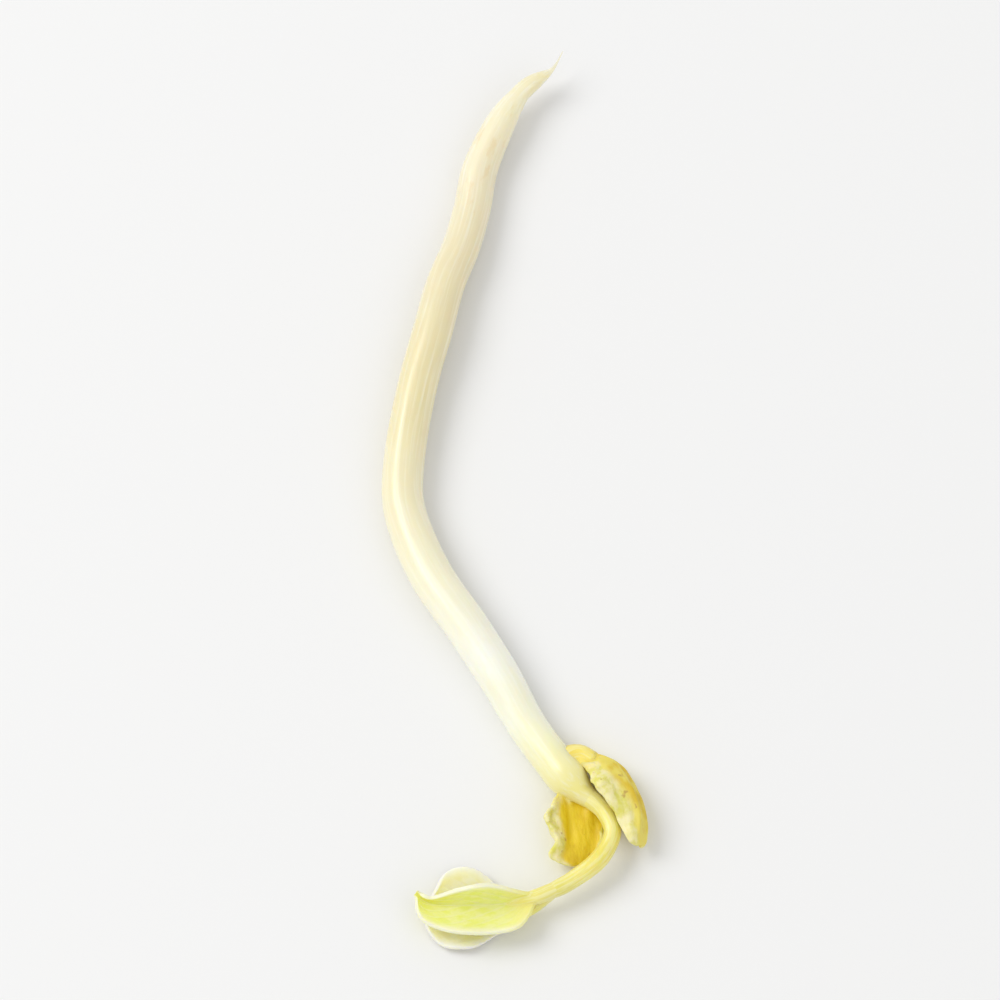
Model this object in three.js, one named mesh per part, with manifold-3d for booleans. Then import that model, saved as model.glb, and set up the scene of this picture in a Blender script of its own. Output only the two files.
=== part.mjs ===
// A mung bean sprout as picked, lying on a table. Millimetres, +Z up.
// The root points to +Y, and the stem runs down to the seed halves and leaves at -Y.
// The origin is on the table, below the middle of the sprout.
import * as THREE from 'three';
import { mergeGeometries, mergeVertices } from 'three/addons/utils/BufferGeometryUtils.js';
import Module from 'manifold-3d';

const wasm = await Module();
wasm.setup();

// ---- Driving dimensions, in millimetres and degrees ----

const GAP = 0.1; // clear space where one organ meets the next
const TABLE = { size: 200, depth: 20 }; // what flattens the undersides that rest on it

// Every course is a list of [x, y, z, diameter], from the root's side towards the leaves.
const HYPOCOTYL = {
  course: [
    [3.7, 35.5, 2.5, 0.4],
    [2.6, 34.3, 2.3, 0.6],
    [1.0, 32.5, 2.0, 1.4],
    [-0.8, 30.3, 1.7, 2.3],
    [-2.5, 26.5, 1.35, 2.75],
    [-3.1, 23.3, 1.3, 2.8],
    [-3.9, 20.2, 1.55, 2.85],
    [-5.1, 17.0, 1.75, 2.9],
    [-6.1, 13.0, 1.85, 3.0],
    [-7.2, 8.9, 1.7, 3.0],
    [-8.2, 3.0, 1.45, 3.1],
    [-8.2, -0.7, 1.45, 3.15],
    [-6.3, -6.0, 1.8, 3.3],
    [-3.3, -10.7, 1.9, 3.3],
    [-1.0, -14.4, 1.65, 3.2],
    [1.1, -18.2, 1.4, 3.0],
    [2.9, -20.8, 1.5, 3.05],
    [3.9, -22.1, 1.6, 3.15],
    [4.5, -22.8, 1.65, 2.8],
    [5.0, -23.4, 1.7, 2.2],
  ],
  rings: 62,
  sides: 20,
};
const EPICOTYL = {
  course: [
    [4.3, -22.5, 1.6, 1.4],
    [5.3, -23.6, 1.7, 1.45],
    [6.5, -25.0, 1.85, 1.4],
    [7.1, -26.7, 1.95, 1.35],
    [6.4, -28.7, 1.95, 1.35],
    [4.4, -30.5, 1.8, 1.35],
    [2.6, -31.5, 1.7, 1.25],
    [1.7, -31.3, 1.8, 0.7],
  ],
  rings: 26,
  sides: 14,
};
const COTYLEDON_FRONT = {
  course: [
    [3.9, -23.1, 1.4],
    [4.2, -24.6, 1.05],
    [4.4, -26.7, 0.84],
    [4.5, -29.1, 0.9],
  ],
  stalk: [
    [3.5, -22.2, 1.6, 1.4],
    [3.8, -23.2, 1.3, 1.3],
    [4.1, -24.4, 0.9, 1.0],
  ],
  width: 3.9,
  above: 0.45, // the flat side, which lay against the other half
  below: 1.0, // the domed side
  curl: 1.0, // how far the edges turn up past the middle
  roll: -10,
};
const COTYLEDON_BACK = {
  course: [
    [5.2, -20.6, 1.9],
    [7.1, -21.9, 1.9],
    [8.7, -24.5, 1.9],
    [9.5, -27.8, 1.75],
  ],
  stalk: [
    [3.7, -20.8, 1.7, 1.9],
    [5.1, -20.5, 1.85, 1.7],
    [6.7, -21.6, 2.0, 1.4],
  ],
  width: 3.8,
  above: 1.0,
  below: 0.45,
  curl: -0.8,
  roll: -65,
};
const COTYLEDON_GRID = { around: 24, along: 16 };
// Depths are shares of the width or thickness that they cut into. One edge is notched deeper than the other.
const COTYLEDON_SHAPE = {
  blunt: 0.24,
  creases: 3,
  creaseDepth: 0.14,
  notches: 1.7,
  notchDepth: [0.06, 0.16],
};

// A leaf's halves leave the midrib at the first angle and have turned up to the second at the margin.
const LEAF_UPPER = {
  course: [
    [1.3, -32.0, 1.75],
    [-0.8, -32.2, 1.6],
    [-3.6, -32.3, 1.55],
    [-6.2, -32.2, 1.75],
    [-7.3, -31.6, 2.2],
  ],
  stalk: [
    [2.5, -31.7, 1.8, 0.9],
    [1.4, -32.0, 1.8, 0.9],
    [0.2, -32.1, 1.75, 0.6],
  ],
  halfWidth: 2.7,
  widest: 0.48,
  near: [2, 26],
  far: [58, 92],
  wave: 0.12,
};
const LEAF_LOWER = {
  course: [
    [1.2, -32.9, 0.65],
    [-0.8, -32.8, 0.38],
    [-3.6, -32.6, 0.28],
    [-5.8, -32.4, 0.36],
    [-6.8, -32.2, 0.6],
  ],
  stalk: [
    [2.8, -31.5, 1.35, 0.9],
    [2.0, -32.2, 1.0, 0.85],
    [1.1, -32.7, 0.7, 0.8],
    [-0.1, -32.8, 0.5, 0.6],
  ],
  halfWidth: 3.1,
  widest: 0.6,
  near: [3, 12],
  far: [2, 18],
  wave: 0.14,
};
const BLADE = { thickness: 0.6, waves: 2.5, fullness: 0.8, roundEdge: 8, roundEnds: 12 };
const BLADE_GRID = { along: 26, across: 10 };
const STALK_GRID = { rings: 8, sides: 10 };
const DOME_STEPS = 4; // rings in the rounded end of a stem or stalk

// ---- Helpers ----

const UP = new THREE.Vector3(0, 0, 1);

function courseOf(stations) {
  return new THREE.CatmullRomCurve3(stations.map(([x, y, z]) => new THREE.Vector3(x, y, z)));
}

/** The middle of a course at t, with the directions to its side and up from it, rolled about it. */
function crossSection(course, t, roll) {
  const centre = course.getPoint(t);
  const tangent = course.getTangent(t);
  const side = new THREE.Vector3().crossVectors(tangent, UP).normalize();
  const lift = new THREE.Vector3().crossVectors(side, tangent);
  side.applyAxisAngle(tangent, roll);
  lift.applyAxisAngle(tangent, roll);
  return { centre, side, lift };
}

/** Moves each vertex to the place that `place` gives it along, across and above a course. */
function shapeAlong(geometry, course, roll, place) {
  const position = geometry.getAttribute('position');
  const vertex = new THREE.Vector3();
  for (let i = 0; i < position.count; i++) {
    vertex.fromBufferAttribute(position, i);
    const { t, across, rise } = place(vertex);
    const { centre, side, lift } = crossSection(course, t, roll);
    centre.addScaledVector(side, across).addScaledVector(lift, rise);
    position.setXYZ(i, centre.x, centre.y, centre.z);
  }
  return geometry;
}

/** A closed geometry as a solid for cutting and joining. */
function solidOf(geometry) {
  const bare = geometry.clone();
  bare.deleteAttribute('normal');
  bare.deleteAttribute('uv');
  const merged = mergeVertices(bare, 1e-4);
  const index = merged.index.array;
  const kept = [];
  for (let i = 0; i < index.length; i += 3) {
    const [a, b, c] = [index[i], index[i + 1], index[i + 2]];
    if (a !== b && b !== c && c !== a) kept.push(a, b, c);
  }
  return new wasm.Manifold(new wasm.Mesh({
    numProp: 3,
    vertProperties: Float32Array.from(merged.getAttribute('position').array),
    triVerts: Uint32Array.from(kept),
  }));
}

function geometryOf(solid) {
  const { vertProperties, triVerts } = solid.getMesh();
  const geometry = new THREE.BufferGeometry();
  geometry.setAttribute('position', new THREE.BufferAttribute(vertProperties, 3));
  geometry.setIndex(new THREE.BufferAttribute(triVerts, 1));
  geometry.computeVertexNormals();
  return geometry;
}

// ---- Organs ----

/** A round stem along a course, as thick at each station as it says, with domed ends. */
function stem(stations, { rings, sides }, grow = 0) {
  const course = courseOf(stations);
  const radii = stations.map(([, , , diameter], i) => new THREE.Vector2(i, diameter / 2 + grow));
  const girth = new THREE.SplineCurve(radii);
  const length = course.getLength();
  const startDome = radii[0].y;
  const endDome = radii[radii.length - 1].y;
  const profile = [];
  for (let i = 0; i <= DOME_STEPS; i++) {
    const angle = (i / DOME_STEPS) * (Math.PI / 2);
    profile.push(new THREE.Vector2(Math.sin(angle), startDome * (1 - Math.cos(angle))));
  }
  for (let i = 1; i < rings; i++) {
    const distance = THREE.MathUtils.lerp(startDome, length - endDome, i / rings);
    profile.push(new THREE.Vector2(1, distance));
  }
  for (let i = DOME_STEPS; i >= 0; i--) {
    const angle = (i / DOME_STEPS) * (Math.PI / 2);
    profile.push(new THREE.Vector2(Math.sin(angle), length - endDome * (1 - Math.cos(angle))));
  }
  profile[0].x = 0;
  profile[profile.length - 1].x = 0;
  const tube = new THREE.LatheGeometry(profile, sides);
  return solidOf(shapeAlong(tube, course, 0, ({ x, y, z }) => {
    const t = course.getUtoTmapping(THREE.MathUtils.clamp(y / length, 0, 1));
    const radius = girth.getPoint(t).y;
    return { t, across: x * radius, rise: z * radius };
  }));
}

/** A shrivelled seed half on its stalk: creased, notched, and cupped by its turned edges. */
function cotyledon({ course: stations, stalk, width, above, below, curl, roll }) {
  const course = courseOf(stations);
  const { around, along } = COTYLEDON_GRID;
  const { blunt, creases, creaseDepth, notches, notchDepth } = COTYLEDON_SHAPE;
  const [shallow, deep] = notchDepth;
  const bean = new THREE.SphereGeometry(1, around, along);
  const body = shapeAlong(bean, course, THREE.MathUtils.degToRad(roll), ({ x, y, z }) => {
    const t = (1 + y) / 2;
    const girth = Math.sqrt(Math.max(1 - y * y, Number.EPSILON));
    const fullness = girth ** -blunt;
    const notch = 1 - (x > 0 ? deep : shallow) * Math.sin(2 * Math.PI * notches * t);
    const crease = 1 - creaseDepth * Math.cos(creases * Math.PI * x);
    return {
      t,
      across: x * (width / 2) * fullness * notch,
      rise: z * fullness * crease * (z > 0 ? above : below) + (curl * x * x) / girth,
    };
  });
  return solidOf(body).add(stem(stalk, STALK_GRID));
}

/**
 * A leaf blade folded along its midrib. Each half climbs an arc from the midrib to the margin, the
 * outline is widest where `widest` says, and both faces carry the same triangles.
 */
function blade({ course: stations, halfWidth, widest, near, far, wave }) {
  const course = courseOf(stations);
  const { thickness, waves, fullness, roundEdge, roundEnds } = BLADE;
  const sharpness = Math.log(0.5) / Math.log(widest);
  const place = ({ x, y }, face) => {
    const t = x + 0.5;
    const v = 2 * y;
    const reach = Math.abs(v);
    const outline = halfWidth * Math.sin(Math.PI * t ** sharpness) ** fullness;
    const [start, end] = (v > 0 ? far : near).map(THREE.MathUtils.degToRad);
    const bend = end - start;
    const angle = start + bend * reach;
    const spread = (outline / bend) * (Math.sin(angle) - Math.sin(start));
    const climb = (outline / bend) * (Math.cos(start) - Math.cos(angle));
    const ripple = wave * Math.sin(2 * Math.PI * waves * t) * reach ** 2 * Math.sin(Math.PI * t);
    const rim = Math.sqrt((1 - reach ** roundEdge) * (1 - Math.abs(2 * t - 1) ** roundEnds));
    const half = face * (thickness / 2) * rim;
    return {
      t,
      across: Math.sign(v) * (spread - half * Math.sin(angle)),
      rise: climb + ripple + half * Math.cos(angle),
    };
  };
  const lower = new THREE.PlaneGeometry(1, 1, BLADE_GRID.along, BLADE_GRID.across);
  const upper = lower.clone();
  upper.setIndex(Array.from(upper.index.array).reverse());
  shapeAlong(upper, course, 0, (vertex) => place(vertex, 1));
  shapeAlong(lower, course, 0, (vertex) => place(vertex, -1));
  return solidOf(mergeGeometries([upper, lower]));
}

function leaf(shape) {
  return blade(shape).add(stem(shape.stalk, STALK_GRID));
}

// ---- Assembly ----

const table = solidOf(new THREE.BoxGeometry(TABLE.size, TABLE.size, TABLE.depth)
  .translate(0, 0, -TABLE.depth / 2));
const stemRoom = stem(HYPOCOTYL.course, HYPOCOTYL, GAP);
const epicotylRoom = stem(EPICOTYL.course, EPICOTYL, GAP);

const solids = {
  hypocotyl_with_root: stem(HYPOCOTYL.course, HYPOCOTYL).subtract(epicotylRoom),
  epicotyl: stem(EPICOTYL.course, EPICOTYL),
  cotyledon_front: cotyledon(COTYLEDON_FRONT).subtract(stemRoom).subtract(epicotylRoom),
  cotyledon_back: cotyledon(COTYLEDON_BACK).subtract(stemRoom).subtract(epicotylRoom),
  leaf_upper: leaf(LEAF_UPPER).subtract(epicotylRoom),
  leaf_lower: leaf(LEAF_LOWER).subtract(epicotylRoom),
};

const FINISH = {
  hypocotyl_with_root: new THREE.MeshStandardMaterial({ color: 0xf1ebcf, roughness: 0.35 }),
  epicotyl: new THREE.MeshStandardMaterial({ color: 0xefe27a, roughness: 0.4 }),
  cotyledon_front: new THREE.MeshStandardMaterial({ color: 0xe3c64a, roughness: 0.5 }),
  cotyledon_back: new THREE.MeshStandardMaterial({ color: 0xe3c64a, roughness: 0.5 }),
  leaf_upper: new THREE.MeshStandardMaterial({ color: 0xd8de4c, roughness: 0.5 }),
  leaf_lower: new THREE.MeshStandardMaterial({ color: 0xe4e68c, roughness: 0.5 }),
};

const sprout = new THREE.Group();
for (const [name, solid] of Object.entries(solids)) {
  const mesh = new THREE.Mesh(geometryOf(solid.subtract(table)), FINISH[name]);
  mesh.name = name;
  sprout.add(mesh);
}

// The middle of the sprout's footprint comes to the origin.
const footprint = new THREE.Box3().setFromObject(sprout).getCenter(new THREE.Vector3());
sprout.position.set(-footprint.x, -footprint.y, 0);

export default sprout;
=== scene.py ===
# %% [markdown]
# # A mung bean sprout, from the root to the first leaves
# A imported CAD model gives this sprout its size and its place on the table. Its solids are simple
# on purpose. Here each one is replaced by a finer piece that lies where the solid lies: the
# glassy stem with its root, the thin yellow shoot, the two shrivelled seed halves, and the first
# two leaves. The model is loaded first, because everything else is measured against it.

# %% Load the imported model
import math
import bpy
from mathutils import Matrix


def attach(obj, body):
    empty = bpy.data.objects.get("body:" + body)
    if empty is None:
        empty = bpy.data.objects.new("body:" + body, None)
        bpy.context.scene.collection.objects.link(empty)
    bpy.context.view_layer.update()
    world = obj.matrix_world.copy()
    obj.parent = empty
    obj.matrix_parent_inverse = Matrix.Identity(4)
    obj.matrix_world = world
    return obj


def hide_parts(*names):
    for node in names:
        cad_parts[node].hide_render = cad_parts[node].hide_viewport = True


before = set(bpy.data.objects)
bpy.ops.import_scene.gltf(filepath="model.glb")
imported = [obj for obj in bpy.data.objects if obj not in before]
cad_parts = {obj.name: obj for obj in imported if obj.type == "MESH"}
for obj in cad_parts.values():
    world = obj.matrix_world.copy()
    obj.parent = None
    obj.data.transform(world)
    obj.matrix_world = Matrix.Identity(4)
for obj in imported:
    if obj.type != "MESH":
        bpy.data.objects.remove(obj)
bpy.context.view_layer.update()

from types import SimpleNamespace

import bmesh
import bpy
from mathutils import Matrix, Vector, noise
from mathutils.bvhtree import BVHTree
from mathutils.interpolate import poly_3d_calc

METRES_PER_MM = 0.001


print("solids:", sorted(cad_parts))

# %% [markdown]
# ## The table
# Food is often shown on a white sweep. A wide plane is enough for one here, because the sprout is
# seen from above. It is a little less than white, so that the palest part of the stem stands out.

# %% Lay the table
TABLE_SIZE = 3.0  # in metres
TABLE_COLOUR = (0.88, 0.88, 0.875)
TABLE_ROUGHNESS = 0.7


def shader_of(material):
    return material.node_tree.nodes["Principled BSDF"]


def plain_material(name, colour, roughness):
    material = bpy.data.materials.new(name)
    material.use_nodes = True
    shader_of(material).inputs["Base Color"].default_value = (*colour, 1)
    shader_of(material).inputs["Roughness"].default_value = roughness
    return material


bpy.ops.mesh.primitive_plane_add(size=TABLE_SIZE)
table = bpy.context.object
table.name = "table_top"
table.data.materials.append(plain_material("white_table", TABLE_COLOUR, TABLE_ROUGHNESS))
print("table:", TABLE_SIZE, "m wide")

# %% [markdown]
# ## The light
# Pale, wet stems keep their shape under big soft lamps, which throw no hard shadows. A large lamp
# above on the left draws the long soft gleam on the stem, a weaker one fills in from the right,
# and a white world lights the rest. The Standard view transform is chosen because it keeps
# near-white colours clean.

# %% Hang the lamps and light the world
LAMPS = {
    # name: (place and size in metres, power in watts), each pointed at the sprout
    "window": ((-0.6, 0.2, 0.7), 0.6, 3.8),
    "fill": ((0.6, -0.5, 0.8), 0.9, 1.0),
}
WORLD_GLOW = 0.69
WHITE = (1, 1, 1, 1)

for name, (place, size, power) in LAMPS.items():
    lamp = bpy.data.lights.new(name, "AREA")
    lamp.shape = "DISK"
    lamp.size = size
    lamp.energy = power
    holder = bpy.data.objects.new(name, lamp)
    holder.location = place
    holder.rotation_euler = (-Vector(place)).to_track_quat("-Z", "Y").to_euler()
    bpy.context.scene.collection.objects.link(holder)

world = bpy.data.worlds.new("white_room")
world.use_nodes = True
sky = world.node_tree.nodes["Background"]
sky.inputs["Color"].default_value = WHITE
sky.inputs["Strength"].default_value = WORLD_GLOW
bpy.context.scene.world = world
bpy.context.scene.view_settings.view_transform = "Standard"
print("lamps:", list(LAMPS), "world glow:", WORLD_GLOW)

# %% [markdown]
# ## The camera
# The sprout is seen from well above, with its root pointing up the picture. A very long lens two
# metres away keeps the near end from looking larger than the far one. The camera is aimed at a
# point a little above the table, near the middle of the sprout.

# %% Aim the camera
ELEVATION = math.radians(70)
DISTANCE = 2.0
LENS = 960
AIM = Vector((-1.07, -0.18, 1.6)) * METRES_PER_MM

camera = bpy.data.objects.new("camera", bpy.data.cameras.new("camera"))
camera.data.lens = LENS
outward = Vector((0, -math.cos(ELEVATION), math.sin(ELEVATION)))
camera.location = AIM + outward * DISTANCE
camera.rotation_euler = outward.to_track_quat("Z", "Y").to_euler()
bpy.context.scene.collection.objects.link(camera)
bpy.context.scene.camera = camera
print("camera at", [round(value, 3) for value in camera.location])

# %% [markdown]
# ## Smooth courses
# Every organ of the sprout follows a bent line. It could be a Blender curve with a bevel, but
# then its thickness, its grain and its wrinkles would be hard to reach. Here a course is a smooth
# line through a few stations in millimetres, each with the diameter there, and the pieces are
# shaped along it. The line is a Catmull-Rom curve of the centripetal kind, because that one
# passes through every station and never loops between two of them.

# %% Draw a smooth line through stations
STEPS = 24  # how finely each stretch between two stations is followed


def root_gap(a, b):
    return math.sqrt((b.xyz - a.xyz).length)


def smooth_points(stations):
    knots = [Vector(station) for station in stations]
    knots = [2 * knots[0] - knots[1], *knots, 2 * knots[-1] - knots[-2]]
    points = []
    for a, b, c, d in zip(knots, knots[1:], knots[2:], knots[3:]):
        before, span, after = root_gap(a, b), root_gap(b, c), root_gap(c, d)
        leave = span * ((b - a) / before - (c - a) / (before + span) + (c - b) / span)
        arrive = span * ((c - b) / span - (d - b) / (span + after) + (d - c) / after)
        for i in range(STEPS):
            u = i / STEPS
            smooth = u * u * (3 - 2 * u)
            points.append(b.lerp(c, smooth) + leave * (u * (1 - u) ** 2)
                          - arrive * (u * u * (1 - u)))
    return [*points, knots[-2]]


TRIAL_BEND = [(0, 0, 5, 1), (10, 0, 5, 1), (10, 10, 5, 1)]  # to try each helper on
print("three stations give", len(smooth_points(TRIAL_BEND)), "points")

# %% [markdown]
# A course can say where it runs, how thick it is, and which way is sideways.

# %% Ask a course for its sections
UP = Vector((0, 0, 1))


class Course:
    """A smooth line through stations of x, y, z and diameter, in millimetres."""

    def __init__(self, stations):
        self.points = smooth_points(stations)
        self.reached = [0.0]
        for a, b in zip(self.points, self.points[1:]):
            self.reached.append(self.reached[-1] + (b.xyz - a.xyz).length)
        self.length = self.reached[-1]

    def point(self, t):
        """The place and diameter at t, which runs from 0 to 1 with the stations."""
        place = min(max(t, 0), 1) * (len(self.points) - 1)
        i = min(int(place), len(self.points) - 2)
        return self.points[i].lerp(self.points[i + 1], place - i)

    def share(self, distance):
        """The t that is reached after that many millimetres."""
        i = 0
        while i < len(self.reached) - 2 and self.reached[i + 1] < distance:
            i += 1
        part = (distance - self.reached[i]) / (self.reached[i + 1] - self.reached[i])
        return (i + min(max(part, 0), 1)) / (len(self.points) - 1)

    def section(self, t, roll=0.0):
        """A matrix of the section at t: sideways, upwards and along, rolled about the course."""
        step = 1 / (len(self.points) - 1)
        along = (self.point(t + step).xyz - self.point(t - step).xyz).normalized()
        side = along.cross(UP).normalized()
        turned = Matrix.Rotation(roll, 3, along)
        axes = (turned @ side, turned @ side.cross(along), along)
        return Matrix.Translation(self.point(t).xyz) @ Matrix(axes).transposed().to_4x4()


print("the trial bend is", round(Course(TRIAL_BEND).length, 1), "mm long")

# %% [markdown]
# ## Growing a tube ring by ring
# A tube is made from one end to the other. Spinning a profile would only make a straight one, so
# it grows along its course instead. Its rings are spaced evenly, and closer together at the two
# ends, where they draw in to a dome.

# %% Space the rings
DOME_RINGS = 6


def ring_places(length, start_radius, end_radius, spacing):
    """Distances along a tube, each with the share of the full radius there."""
    turns = [math.radians(90 * i / DOME_RINGS) for i in range(1, DOME_RINGS)]
    body = length - start_radius - end_radius
    rings = math.ceil(body / spacing)
    places = [(start_radius * (1 - math.cos(turn)), math.sin(turn)) for turn in turns]
    places += [(start_radius + body * i / rings, 1.0) for i in range(rings + 1)]
    places += [(length - end_radius * (1 - math.cos(turn)), math.sin(turn))
               for turn in reversed(turns)]
    return places


print("a short tube has", len(ring_places(4, 1, 1, 0.5)), "rings")

# %% [markdown]
# A ring is extruded where it is, to be carried to the next section. At the end of a tube, its
# last ring is closed with one face, and poke makes that a fan of triangles round a pole.

# %% Extrude a ring and close an end


def extrude_ring(bm, edges):
    """Extrudes an open ring where it is. Returns the new ring's vertices and edges."""
    grown = bmesh.ops.extrude_edge_only(bm, edges=edges)["geom"]
    ring = [item for item in grown if isinstance(item, bmesh.types.BMVert)]
    fresh = set(ring)
    edges = [item for item in grown
             if isinstance(item, bmesh.types.BMEdge) and fresh.issuperset(item.verts)]
    return ring, edges


def close_end(bm, edges):
    """Closes an open ring with a fan of triangles. Returns the pole in its middle."""
    lid = bmesh.ops.contextual_create(bm, geom=edges)["faces"]
    return bmesh.ops.poke(bm, faces=lid)["verts"][0]


# %% [markdown]
# Each vertex keeps notes for later. One says how far along it lies, one whether it is on a
# stalk, and one gives its place in the straightened tube, in millimetres. The last lets wrinkles
# and streaks follow every bend.

# %% Grow a tube along a course


def note_layer(layers, name):
    return layers.get(name) or layers.new(name)


def grow_tube(bm, course, spacing, sides, stalk=False):
    """Grows a closed tube in bm. Returns its vertices."""
    along = note_layer(bm.verts.layers.float, "along")
    on_stalk = note_layer(bm.verts.layers.float, "stalk")
    grain = note_layer(bm.verts.layers.float_vector, "grain")
    end_radii = course.points[0].w / 2, course.points[-1].w / 2
    ring = bmesh.ops.create_circle(bm, segments=sides, radius=1)["verts"]
    edges = list(dict.fromkeys(edge for vert in ring for edge in vert.link_edges))
    first, last, tube = edges, None, list(ring)
    for distance, share in ring_places(course.length, *end_radii, spacing):
        t = course.share(distance)
        radius = course.point(t).w / 2
        place = course.section(t) @ Matrix.Scale(radius * share, 4)
        if last is None:
            move = place
        else:
            ring, edges = extrude_ring(bm, edges)
            tube += ring
            move = place @ last.inverted()
        bmesh.ops.transform(bm, matrix=move, verts=ring)
        last = place
        upright = place.inverted()
        for vert in ring:
            spot = upright @ vert.co
            vert[along] = distance / course.length
            vert[grain] = (spot.x * radius, spot.y * radius, distance)
    for end, distance in ((first, 0), (edges, course.length)):
        pole = close_end(bm, end)
        pole[along] = distance / course.length
        pole[grain] = (0, 0, distance)
        tube.append(pole)
    for vert in tube:
        vert[on_stalk] = 1.0 if stalk else 0.0
    return tube


trial = bmesh.new()
grow_tube(trial, Course(TRIAL_BEND), spacing=1.0, sides=12)
print("a trial tube has", len(trial.verts), "vertices and", len(trial.faces), "faces")
trial.free()

# %% [markdown]
# ## Carving and laying down
# A bare tube looks like plastic. Living tissue has swellings and faint ridges that run with its
# grain. They could be sculpted by hand, but smooth noise can be changed with a number, so the
# skin is moved in or out by noise, read in the straightened tube. Then the piece is laid down:
# where it would sink into the table, its underside is flattened softly.

# %% Carve the skin and lay the piece down
SOFTNESS = 0.05  # how softly an underside meets the table, in millimetres


def ripple(grain, around, length, seed):
    """Noise from -1 to 1 that changes every so many millimetres around and along the grain."""
    return noise.noise(Vector((grain[0] / around, grain[1] / around, grain[2] / length + seed)))


def carve(bm, verts, depth):
    """Moves each vertex outwards by the millimetres that `depth` gives for it."""
    bmesh.ops.recalc_face_normals(bm, faces=bm.faces)
    bm.normal_update()
    for vert in verts:
        vert.co += vert.normal * depth(vert)


def lay_down(bm):
    for vert in bm.verts:
        vert.co.z = 0.5 * (vert.co.z + math.sqrt(vert.co.z ** 2 + SOFTNESS ** 2))


ridges = [ripple((0.1 * i, 0, 0), around=0.7, length=14.0, seed=0.0) for i in range(50)]
print("trial ridges run from", round(min(ridges), 2), "to", round(max(ridges), 2))

# %% [markdown]
# Every piece is finished in the same way. It is laid down and shaded smooth, it gets its place in
# the model's own metres, it rides on its body, and the solid that it stands for is hidden.

# %% Finish a piece
CENTRING = Vector((-0.072, 0.022, 0.0))  # brings the courses to the model's own origin


def finish_piece(bm, name, node):
    """Makes an object of bm that stands for the node, if there is one."""
    lay_down(bm)
    bmesh.ops.recalc_face_normals(bm, faces=bm.faces)
    bmesh.ops.translate(bm, vec=CENTRING, verts=bm.verts)
    bmesh.ops.scale(bm, vec=Vector((1, 1, 1)) * METRES_PER_MM, verts=bm.verts)
    for face in bm.faces:
        face.smooth = True
    mesh = bpy.data.meshes.new(name)
    bm.to_mesh(mesh)
    bm.free()
    piece = bpy.data.objects.new(name, mesh)
    bpy.context.scene.collection.objects.link(piece)
    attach(piece, "root")
    if node:
        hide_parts(node)
    longest = round(max(piece.dimensions) / METRES_PER_MM, 1)
    print(name, "has", len(mesh.polygons), "faces and is", longest, "mm long")
    return piece


# %% [markdown]
# ## The stem with its root
# Below the seed halves the stem is one thick watery column, and it tapers into the root with
# no joint, so both are one piece. Its stations follow every bend, and they stand closer together
# where it draws in to the root's thread and to the shoot's foot.

# %% Lay out the stem
STEM = [
    # from the thread at the root's tip to where the stem ends inside the shoot's foot
    (3.75, 35.5, 2.5, 0.09),
    (3.45, 34.9, 2.46, 0.14),
    (3.15, 34.35, 2.38, 0.22),
    (2.8, 33.95, 2.3, 0.42),
    (2.4, 33.68, 2.22, 0.76),
    (1.8, 33.32, 2.13, 1.12),
    (1.15, 32.85, 2.04, 1.36),
    (0.5, 32.22, 1.97, 1.45),
    (-0.8, 30.3, 1.7, 2.25),
    (-2.5, 26.5, 1.35, 2.7),
    (-3.1, 23.3, 1.3, 2.8),
    (-3.9, 20.2, 1.55, 2.85),
    (-5.1, 17.0, 1.75, 2.9),
    (-6.1, 13.0, 1.85, 3.0),
    (-7.2, 8.9, 1.7, 3.0),
    (-8.2, 3.0, 1.45, 3.1),
    (-8.2, -0.7, 1.45, 3.15),
    (-6.3, -6.0, 1.8, 3.3),
    (-3.3, -10.7, 1.9, 3.3),
    (-1.0, -14.4, 1.65, 3.2),
    (1.1, -18.2, 1.4, 3.0),
    (2.9, -20.8, 1.5, 3.0),
    (3.9, -22.1, 1.6, 3.1),
    (4.45, -22.75, 1.65, 2.75),
    (4.9, -23.25, 1.7, 2.2),
    (5.3, -23.65, 1.71, 1.78),
    (5.66, -23.95, 1.74, 1.55),
    (6.05, -24.27, 1.78, 1.3),
    (6.44, -24.62, 1.82, 1.0),
]
stem_course = Course(STEM)
print("the stem's course is", round(stem_course.length, 1), "mm long")

# %% [markdown]
# The stem swells and narrows a little, and carries faint ridges. The root's last centimetre is
# drier and wrinkled. The relief dies away at both ends, where the thread is too thin for it and
# where the shoot takes over.

# %% Make the stem and root
STEM_SPACING = 0.2
STEM_SIDES = 56
DRY_SHARE = 0.16  # of the stem's length, from the root's tip
THREAD_SHARE = 0.05
THREAD_RELIEF = 0.12
FOOT_SHARE = 0.04


def stem_relief(vert):
    place, share = vert[stem_grain], vert[stem_along]
    swelling = 0.07 * ripple(place, around=4.0, length=9.0, seed=0.0)
    ridges = (0.04 * ripple(place, around=0.7, length=14.0, seed=7.0)
              + 0.014 * ripple(place, around=0.3, length=4.0, seed=3.0))
    dry = max(0.0, 1 - share / DRY_SHARE)
    creases = 0.045 * dry * ripple(place, around=0.5, length=0.9, seed=11.0)
    calm = min(1.0, THREAD_RELIEF + share / THREAD_SHARE, (1 - share) / FOOT_SHARE)
    return (swelling + ridges + creases) * calm


bm = bmesh.new()
stem_verts = grow_tube(bm, stem_course, STEM_SPACING, STEM_SIDES)
stem_along = bm.verts.layers.float["along"]
stem_grain = bm.verts.layers.float_vector["grain"]
carve(bm, stem_verts, stem_relief)
stem = finish_piece(bm, "stem_and_root", "hypocotyl_with_root")

# %% [markdown]
# ## The shoot
# Between the seed halves a thin shoot comes out, makes a hook, and carries the leaves. It is
# grown in the same way as the stem. It is firmer and greener, with a few clear ridges, which the
# leaf stalks carry on.

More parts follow.
